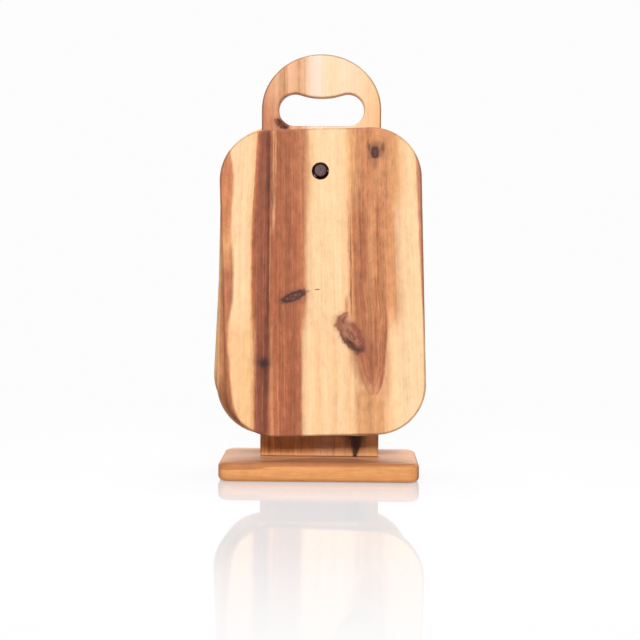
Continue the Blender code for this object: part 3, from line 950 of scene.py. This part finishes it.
def upright_wood():
    """One plank: orange-brown on the left, cream on the right, with a knot below the hand hole's left end."""
    wood = Finish("upright acacia")
    across, through, along = wood_places(wood, (0, 0, UPRIGHT_TOP))
    down = along * -1
    straight = feather(wander(across, through, down, 3.2, 50), through, down)
    grain = bend_round(straight, down, [UPRIGHT_KNOT])
    shift = grain - down.rise(90, 380) * 9
    colour = shift.ramp(UPRIGHT_ACROSS)
    for places, width, strength, paint in UPRIGHT_LINES:
        course = list(zip((-20, 140, 300), places))
        colour = draw_line(colour, shift, down, (course, width, (-40, 320, 20), strength, paint))
    red = grain.rise(-30, -52) * down.rise(20, 72)
    colour = (red * 0.78).mix(colour, (190, 125, 93))
    foot = down.rise(340, 392)
    years = join(grain + 12, through, down).noise((5, 30, 160), 4, 0.6)
    colour = (foot * 0.8).mix(colour, years.ramp(FOOT_BANDS))
    # Painted shadow of the boards on the neck: darker above the lit band at the foot, but not at the neck's
    # sides.
    painted_board_shadow = (down - grain.rise(-14, -30, 2.6)).rise(405, 394, 0.44) * grain.between(-44, 46, 9)
    colour = (painted_board_shadow * foot).mix(colour, (140, 76, 36))
    # Painted light on the lowest few millimetres of the foot, over the dark line where it stands on the base.
    colour = down.rise(404, 409, 0.6).mix(colour, (255, 202, 146))
    colour = foot_flame(colour, grain, through, down)
    streaks, open_pores = fibres(grain, through, down, 80), pores(grain, through, down, 80)
    colour = grained(colour, streaks, open_pores, 0.15, 0.5)
    place = join(across, through, down)
    colour = hand_hole_knot(colour, across, down, ragged_outline(place, 1.5))
    ends = facing(wood, (0, 0, 1)).rise(0.55, 0.95)
    colour, holes = end_grain(colour, across, through, ends, (-30, 70))
    rounded_edge_share = rounded_edges(wood, (0, 1, 0))
    uneven = place.noise((12, 12, 12), 2)
    # Painted shade along the rounded edges: strongest at the sides and along the arch, faint round the hand
    # hole, and gone at the foot.
    inner_part = abs(across).rise(50, 46) * down.rise(30, 34)
    painted_edge_shade = inner_part.blend(0.42, 0.05) * down.rise(392, 372)
    colour = (rounded_edge_share * (painted_edge_shade + uneven * (painted_edge_shade * 1.4))).mix(colour, (140, 100, 76))
    peg_hole = (0, (UPRIGHT_TOP - PEG_HEIGHT) * 1000)
    # Painted shade inside the peg's hole.
    colour = distance_from(across, down, peg_hole).rise(8.2, 7.4, 0.85).mix(colour, HOLE_SHADE)
    return oiled(wood, colour, streaks, open_pores.math("MAXIMUM", holes * ends), rounded_edge_share)


def hand_hole_knot(colour, across, down, ragged):
    """A knot that the hand hole cut through: red-brown, with nearly black spots."""
    centre, radii, turn, _parting = UPRIGHT_KNOT
    around = spot_distance(across, down, centre, (radii[0] + 4, radii[1] + 5), turn) + ragged * 0.6
    colour = around.rise(1.2, 0.3, 0.75).mix(colour, (178, 108, 78))
    distance = spot_distance(across, down, centre, radii, turn) + ragged * 0.5
    body = distance.rise(1.25, 0.55)
    colour = (body * 0.85).mix(colour, (104, 58, 42))
    spots = join(across, 0, down).noise((2.2, 1, 2.6), 2, 0.6).rise(0.44, 0.58)
    return (spots * body * 0.9).mix(colour, (42, 22, 18))


def foot_flame(colour, across, through, down):
    """A nearly black mark that tapers down to the base, right of the middle."""
    course = down.course([(340, 35), (380, 37), (396, 37), (410, 35)])
    half = down.course([(340, 3), (372, 14), (384, 13), (394, 8.4), (410, 2.4)])
    straggle = join(across, through, down).stray((1.5, 6, 9), 3, 0.6)
    share = ((abs(across - course) + straggle * 9) / half).rise(1.5, 0.2)
    return (share * down.rise(345, 376) * 0.95).mix(colour, (42, 22, 13))


BASE_BANDS = [
    (0.26, (210, 142, 86)), (0.40, (222, 152, 91)), (0.50, (231, 163, 101)), (0.58, (224, 155, 94)),
    (0.66, (237, 174, 112)), (0.76, (227, 157, 97)),
]
BASE_PITH = (20, -70)


def base_wood():
    """One slab with its grain from side to side, orange-brown, with a dark streak along its top."""
    wood = Finish("base acacia")
    along, depth, height = wood_places(wood, middle(BASE_BOX))
    spot = join(along, depth, height)
    slow, quick = spot.stray((110, 40, 30), 2), spot.stray((45, 14, 9), 2)
    radius = distance_from(depth + slow * 16, height + along * -0.018 + quick * 2.6, BASE_PITH)
    colour = join(radius, along * 0.004, 0).noise((4.2, 1, 1), 4, 0.62).ramp(BASE_BANDS)
    # Painted sheen: the top is paler, except near its front edge.
    top = height.rise(5.5, 9)
    colour = (top * depth.rise(-50, -28, 0.75)).mix(colour, (238, 186, 148))
    course = along.course([(-101, -37), (-60, -42), (-20, -33), (20, -30), (50, -38), (101, -44)])
    width = along.course([(-101, 2), (-60, 4), (-20, 13), (20, 17), (45, 11), (60, 4), (101, 1.6)])
    streak = (abs(depth + quick * 7 - course) / width).rise(1.3, 0.5) * height.rise(6.6, 8.8)
    colour = (streak * 0.45).mix(colour, (150, 88, 70))
    front = facing(wood, (0, 1, 0)).rise(0.4, 0.8)
    on_top, on_front = fibres(depth, height, along, 140), fibres(height, depth, along, 190)
    streaks = [front.blend(*pair) for pair in zip(on_top, on_front)]
    open_pores = front.blend(pores(depth, height, along, 140), pores(height, depth, along, 190))
    colour = grained(colour, streaks, open_pores * 0.35, 0.1, 0.4)
    ends = facing(wood, (1, 0, 0)).rise(0.6, 0.95)
    colour, holes = end_grain(colour, depth, height, ends, BASE_PITH)
    # Painted shade: the front grows darker towards the bottom.
    colour = (front * height.rise(1, -9, 0.4)).mix(colour, (176, 108, 58))
    edge_low = along.course([(-101, 2.0), (-64, 3.2), (-44, 6.0), (40, 6.8), (101, 8.2)])
    edge = (height - edge_low).rise(-1.0, 1.0, 0.5) * depth.rise(-45, -48)
    colour = edge.mix(colour, (158, 94, 66))
    # Darker on the rounded edges, a little on all of them and more along the top front edge.
    rounded_edge_share = rounded_edges(wood, (0, 0, 1))
    rounded_edge_share = rounded_edge_share * (0.1 + height.rise(3.0, 8.0) * depth.rise(-45, -49) * 0.9)
    uneven = join(depth, height, along).noise((12, 12, 12), 2)
    colour = (rounded_edge_share * (0.15 + uneven * 0.5)).mix(colour, (166, 98, 62))
    return oiled(wood, colour, streaks, open_pores.math("MAXIMUM", holes * ends), rounded_edge_share)


PEG_END = [(0.30, (46, 32, 32)), (0.44, (84, 66, 68)), (0.56, (118, 96, 98)), (0.72, (176, 152, 150))]


def peg_wood():
    """Nearly black at the rim of its end, painted shade for the gap round it, with paler open end grain."""
    wood = Finish("dark peg wood")
    across, through, up = wood_places(wood, (0, 0, PEG_HEIGHT))
    ends = facing(wood, (0, 1, 0)).rise(0.6, 0.95)
    streaks = fibres(across, up, through, 20)
    side = grain_lift(shade(62, 38, 32)[:3], streaks, 1.0)
    flecks = join(across, up, through).noise((0.62, 0.62, 9), 2, 0.7)
    # Painted shade: the rim of the end is nearly black.
    rim = (distance_from(across, up, (0, 0)) + flecks * 0.9).rise(5.7, 6.5)
    colour = ends.mix(side, rim.mix(flecks.ramp(PEG_END), (34, 15, 11)))
    oiled(wood, colour, streaks, flecks.rise(0.45, 0.35) * ends, rim * 0.5)
    wood.give("Specular IOR Level", STAINED_SHINE)
    return wood.material


def beech_wood():
    """Raw beech: pale, with short brown flecks along the dowel."""
    wood = Finish("raw beech")
    across, through, up = wood_places(wood, (0, 0, 0))
    streaks = fibres(across, through, up, 7)
    flecks = join(across, through, up).noise((0.35, 0.35, 2.2), 1).rise(0.62, 0.72)
    colour = grain_lift((flecks * 0.6).mix((222, 192, 152), (176, 128, 88)), streaks, 0.4)
    return oiled(wood, colour, streaks, flecks, 0.6)


def zinc_steel():
    """Yellow zinc plating, cloudy in its colour and its gloss, over turned rings."""
    metal = Finish("yellow zinc plated steel")
    across, through, up = wood_places(metal, (0, 0, 0))
    place = join(across, through, up)
    clouds = place.noise((1.6, 1.6, 2.4), 3, 0.6)
    rings = place.noise((4, 4, 0.06), 1)
    colour = clouds.ramp([(0.3, (196, 172, 110)), (0.5, (214, 196, 140)), (0.7, (186, 190, 150))])
    metal.give("Base Color", colour)
    metal.give("Metallic", 1.0)
    metal.give("Roughness", 0.22 + clouds * 0.22)
    metal.relief(rings, 0.2, STEEL_RELIEF)
    return metal.material


# Boards


def make_board(name, material):
    body, lean, hole_to_top = BOARDS[name]
    node_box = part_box(name)
    shape = rounded_slab(BOARD_WIDTH, BOARD_LENGTH, BOARD_CORNER, size(node_box).y)
    soften(shape, BOARD_EDGE, EDGE_STEPS)
    move(shape, (0, hole_to_top - BOARD_LENGTH / 2, 0))
    drill = cylinder(BOARD_HOLE / 2, -BOARD_WIDTH / 2, BOARD_WIDTH / 2)
    shape = carve(shape, [drill])
    soften(shape, BOARD_HOLE_EASING, SMALL_EDGE_STEPS)
    stand_up(shape, lean, (0, middle(node_box).y, HOLE_HEIGHT))
    return finish_piece(name + "_wood", shape, material, body, [name])


# Screws and dowels


def turned(profile, across):
    """Turns a profile of radii and heights round an upright axis."""
    shape = bmesh.new()
    corners = [shape.verts.new((radius, 0, height)) for radius, height in profile]
    for lower, upper in zip(corners, corners[1:]):
        shape.edges.new((lower, upper))
    bmesh.ops.spin(
        shape,
        geom=shape.verts[:] + shape.edges[:],
        cent=(0, 0, 0),
        axis=(0, 0, 1),
        angle=2 * math.pi,
        steps=TURNED_STEPS,
        use_merge=True,
    )
    bmesh.ops.remove_doubles(shape, verts=shape.verts, dist=JOINED)
    bmesh.ops.recalc_face_normals(shape, faces=shape.faces)
    move(shape, (across, 0, 0))
    return shape


def block(width, depth, height, place):
    shape = bmesh.new()
    bmesh.ops.create_cube(shape, size=1)
    bmesh.ops.scale(shape, vec=(width, depth, height), verts=shape.verts)
    move(shape, place)
    return shape


def screw_profile(box):
    """From the tip down to the head: a thread, a plain shank and a countersunk head."""
    bottom, tip = box[0].z, box[1].z
    head = size(box).x / 2
    root = SCREW_RADIUS - THREAD_DEPTH
    height = tip - SCREW_TIP
    profile = [(0, tip), (root, height)]
    for _ring in range(THREAD_RINGS):
        profile.append((SCREW_RADIUS, height - THREAD_PITCH / 2))
        profile.append((root, height - THREAD_PITCH))
        height -= THREAD_PITCH
    profile.append((SCREW_RADIUS, height - THREAD_DEPTH))
    profile.append((SCREW_RADIUS, bottom + SCREW_HEAD_RIM + head - SCREW_RADIUS))
    profile.append((head, bottom + SCREW_HEAD_RIM))
    profile.append((head, bottom))
    profile.append((0, bottom))
    return profile


def make_screws(material):
    for node in SCREWS:
        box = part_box(node)
        place = (middle(box).x, 0, box[0].z)
        recess = [
            block(RECESS_LENGTH, RECESS_WIDTH, 2 * RECESS_DEPTH, place),
            block(RECESS_WIDTH, RECESS_LENGTH, 2 * RECESS_DEPTH, place),
        ]
        shape = carve(turned(screw_profile(box), place[0]), recess)
        finish_piece(node + "_steel", shape, material, "stand", [node])


def make_dowels(material):
    """Dowels with shallow flutes along them, which let the glue out."""
    for node in DOWELS:
        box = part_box(node)
        radius = size(box).x / 2
        shape = cylinder(radius, box[0].z, box[1].z, steps=8 * DOWEL_FLUTES)
        soften(shape, DOWEL_CHAMFER, 1)
        for corner in shape.verts:
            angle = math.atan2(corner.co.y, corner.co.x)
            depth = DOWEL_FLUTE_DEPTH * (1 - math.cos(DOWEL_FLUTES * angle)) / 2
            corner.co.xy *= 1 - depth / radius
        move(shape, (middle(box).x, 0, 0))
        finish_piece(node + "_wood", shape, material, "stand", [node])


def fitting_holes():
    """Cutters for the holes of the screws and dowels, through the base and on into the upright."""
    holes = []
    for node in SCREWS:
        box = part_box(node)
        radius = SCREW_RADIUS + FITTING_GAP
        head = size(box).x / 2 + FITTING_GAP
        rim = box[0].z + SCREW_HEAD_RIM + FITTING_GAP
        top = box[1].z + FITTING_GAP
        shank = [(0, top), (radius, top), (radius, rim + head - radius)]
        profile = shank + [(head, rim), (head, -OVERRUN), (0, -OVERRUN)]
        holes.append(turned(profile, middle(box).x))
    for node in DOWELS:
        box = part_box(node)
        radius = size(box).x / 2 + FITTING_GAP
        holes.append(cylinder(radius, box[0].z - FITTING_GAP, box[1].z + FITTING_GAP, middle(box).x))
    return holes


# Upright


def carry_on(shape, corner, centre, degrees, steps):
    """Carries an outline on along an arc, and gives its new last corner."""
    arc = bmesh.ops.spin(
        shape,
        geom=[corner],
        cent=(*centre, 0),
        axis=(0, 0, 1),
        angle=math.radians(degrees),
        steps=steps,
    )
    return next(part for part in arc["geom_last"] if isinstance(part, bmesh.types.BMVert))


def close_outline(shape):
    """Merges the ends of an outline and fills it with one face."""
    bmesh.ops.remove_doubles(shape, verts=shape.verts, dist=JOINED)
    bmesh.ops.holes_fill(shape, edges=shape.edges)
    if not shape.faces:
        bmesh.ops.edgeloop_fill(shape, edges=shape.edges)


def upright_blank():
    """The plank with its arched top, lying flat."""
    half = UPRIGHT_WIDTH / 2
    shoulder = UPRIGHT_TOP - ARCH_RISE
    shape = bmesh.new()
    start = shape.verts.new((half, 0, 0))
    end = carry_on(shape, start, (0, 0), 180, ARCH_STEPS)
    bmesh.ops.scale(shape, vec=(1, ARCH_RISE / half, 1), verts=shape.verts)
    move(shape, (0, shoulder, 0))
    foot_left = shape.verts.new((-half, UPRIGHT_FOOT - OVERRUN, 0))
    foot_right = shape.verts.new((half, UPRIGHT_FOOT - OVERRUN, 0))
    shape.edges.new((end, foot_left))
    shape.edges.new((foot_left, foot_right))
    shape.edges.new((foot_right, start))
    close_outline(shape)
    thicken(shape, UPRIGHT_THICKNESS)
    soften(shape, UPRIGHT_EDGE, EDGE_STEPS)
    bmesh.ops.bisect_plane(
        shape,
        geom=shape.verts[:] + shape.edges[:] + shape.faces[:],
        plane_co=(0, UPRIGHT_FOOT, 0),
        plane_no=(0, -1, 0),
        clear_outer=True,
    )
    bmesh.ops.holes_fill(shape, edges=shape.edges)
    return shape


def hand_hole():
    """A cutter with round ends, a flat floor and a roof that dips between the fingers."""
    end = HAND_HOLE_HEIGHT / 2
    reach = UPRIGHT_WIDTH / 2 - HAND_HOLE_SIDE_WALL - end
    level = UPRIGHT_TOP - HAND_HOLE_TOP_WALL - end
    low_roof = end - HAND_HOLE_ROOF_DIP
    dip_radius = (reach**2 + low_roof**2 - end**2) / (2 * HAND_HOLE_ROOF_DIP)
    dip_height = low_roof + dip_radius
    turn = math.degrees(math.atan2(reach, dip_height))
    shape = bmesh.new()
    floor_left = shape.verts.new((-reach, level - end, 0))
    floor_right = shape.verts.new((reach, level - end, 0))
    shape.edges.new((floor_left, floor_right))
    corner = carry_on(shape, floor_right, (reach, level), 180 + turn, FINGER_STEPS)
    corner = carry_on(shape, corner, (0, level + dip_height), -2 * turn, ROOF_STEPS)
    carry_on(shape, corner, (-reach, level), 180 + turn, FINGER_STEPS)
    close_outline(shape)
    thicken(shape, UPRIGHT_THICKNESS + 2 * OVERRUN)
    return shape


def make_upright(material):
    peg_hole = cylinder(PEG_RADIUS + FITTING_GAP, -UPRIGHT_THICKNESS, UPRIGHT_THICKNESS)
    move(peg_hole, (0, PEG_HEIGHT, 0))
    shape = carve(upright_blank(), [hand_hole()])
    soften(shape, UPRIGHT_EDGE, EDGE_STEPS)
    shape = carve(shape, [peg_hole])
    stand_up(shape)
    shape = carve(shape, fitting_holes())
    return finish_piece("upright_wood", shape, material, "stand", ["upright"])


# Peg and base


def make_peg(material):
    reach = size(PEG_BOX).y / 2
    shape = cylinder(PEG_RADIUS, -reach, reach)
    soften(shape, PEG_ROUNDING, PEG_EDGE_STEPS)
    stand_up(shape, 0, (0, 0, PEG_HEIGHT))
    return finish_piece("hanging_peg_wood", shape, material, "stand", ["hanging_peg"])


def make_base(material):
    width, depth, thickness = size(BASE_BOX)
    shape = rounded_slab(width, depth, BASE_CORNER, thickness)
    soften(shape, BASE_EDGE, EDGE_STEPS)
    move(shape, middle(BASE_BOX))
    shape = carve(shape, fitting_holes())
    return finish_piece("base_wood", shape, material, "stand", ["base"])


# Stage, light and camera

WHITE = (0.98, 0.98, 0.98, 1.0)
FLOOR_LIT = (0.93, 0.93, 0.93, 1.0)
FLOOR_BOUNCE = (0.30, 0.30, 0.30, 1.0)
MIRROR = (1, 0.98, 1, 1)
MIRROR_ROUGHNESS = 0.03
# Each: how far towards the back, and the share of the reflection there
FLOOR_SHEEN = [
    (-0.80, 0.0), (-0.57, 0.14), (-0.42, 0.228), (-0.34, 0.268), (-0.28, 0.28), (-0.14, 0.265),
    (-0.05, 0.46),
]
FLOOR_SHADOW_SHARE = 0.2
FLOOR_GAP = 0.0001
FLOOR_FADE_START = 0.30
FLOOR_FADE_END = 0.80
FLOOR_REACH = 6
AMBIENT_WHITE = (1, 1, 1, 1)
AMBIENT = 0.09


def seen_directly(tree):
    """One where the camera, a mirror or a glass sees the surface, and zero for its light on others."""
    path = add_node(tree, "LightPath")
    rays = ("Is Camera Ray", "Is Glossy Ray", "Is Transmission Ray")
    camera, mirror, glass = (Flow(path.outputs[ray]) for ray in rays)
    return camera.math("MAXIMUM", mirror).math("MAXIMUM", glass)


def make_floor():
    """Polished white: it keeps the shadow and a reflection close by, and fades to plain white."""
    floor = Finish("studio floor")
    floor.tree.nodes.remove(floor.shader)
    where = floor.surface("Object")
    seen = seen_directly(floor.tree)
    lit = seen.mix(FLOOR_BOUNCE, FLOOR_LIT).into("BsdfDiffuse")
    mirror = Flow(add_node(floor.tree, "BsdfGlossy", MIRROR, MIRROR_ROUGHNESS).outputs[0])
    white = Flow(add_node(floor.tree, "Emission", WHITE, 1.0).outputs[0])
    sheen = where.split()[1].ramp([(place, (share,) * 3 + (1,)) for place, share in FLOOR_SHEEN])
    near = (seen * (1 - FLOOR_SHADOW_SHARE)).into("MixShader", lit, white)
    near = sheen.into("MixShader", near, mirror)
    distance = Flow(add_node(floor.tree, "VectorMath", where, operation="LENGTH").outputs["Value"])
    fade = distance.rise(FLOOR_FADE_START, FLOOR_FADE_END) * seen
    wire(fade.into("MixShader", near, white), floor.tree.nodes["Material Output"].inputs["Surface"])
    shape = bmesh.new()
    bmesh.ops.create_grid(shape, x_segments=1, y_segments=1, size=FLOOR_REACH)
    move(shape, (0, 0, -FLOOR_GAP))
    ground = to_object("floor", shape)
    ground.data.materials.append(floor.material)


# Each light: its place, what it points at, its width, its height and its watts
LIGHTS = {
    "key light": ((0.02, -2.3, 1.25), (0, 0, 0.2), 1.7, 0.30, 50),
    "top light": ((0, 0.1, 1.8), (0, 0, 0), 1.0, 1.0, 26),
    "back light": ((0, 2.4, 1.5), (0, 0, 0.2), 2.4, 1.2, 26),
}


def make_light(name, place, target, width, height, watts):
    lamp = bpy.data.lights.new(name, "AREA")
    lamp.shape = "RECTANGLE"
    lamp.size = width
    lamp.size_y = height
    lamp.energy = watts
    light = bpy.data.objects.new(name, lamp)
    light.location = place
    light.rotation_euler = (Vector(target) - Vector(place)).to_track_quat("-Z", "Y").to_euler()
    bpy.context.scene.collection.objects.link(light)


def make_world():
    """White where it is seen, and a plain soft light on everything."""
    world = bpy.data.worlds.new("studio")
    world.use_nodes = True
    tree = world.node_tree
    backdrop = tree.nodes["Background"]
    wire(WHITE, backdrop.inputs["Color"])
    ambient = add_node(tree, "Background", AMBIENT_WHITE, AMBIENT)
    surface = seen_directly(tree).into("MixShader", *(Flow(node.outputs[0]) for node in (ambient, backdrop)))
    wire(surface, tree.nodes["World Output"].inputs["Surface"])
    bpy.context.scene.world = world


CAMERA_PLACE = (0.0243, -1.440, 0.2458)
CAMERA_YAW = 0.985
CAMERA_PITCH = 2.163
CAMERA_ROLL = 0.377
CAMERA_LENS = 79.16
CAMERA_SENSOR = 36
CAMERA_SHIFT = -0.05


def make_camera():
    data = bpy.data.cameras.new("camera")
    data.lens = CAMERA_LENS
    data.sensor_width = CAMERA_SENSOR
    data.shift_y = CAMERA_SHIFT
    camera = bpy.data.objects.new("camera", data)
    yaw = Matrix.Rotation(math.radians(CAMERA_YAW), 4, "Z")
    look = Matrix.Rotation(math.radians(90 - CAMERA_PITCH), 4, "X")
    roll = Matrix.Rotation(math.radians(CAMERA_ROLL), 4, "Z")
    camera.matrix_world = Matrix.Translation(CAMERA_PLACE) @ yaw @ look @ roll
    bpy.context.scene.collection.objects.link(camera)
    bpy.context.scene.camera = camera


make_board("board_front_outer", front_board_wood())
for board in STAVE_BOARDS:
    make_board(board, stave_board_wood(board, *STAVE_BOARDS[board]))
make_upright(upright_wood())
make_peg(peg_wood())
make_base(base_wood())
make_screws(zinc_steel())
make_dowels(beech_wood())
make_floor()
for name, light in LIGHTS.items():
    make_light(name, *light)
make_world()
make_camera()

bpy.context.scene.view_settings.view_transform = "Standard"
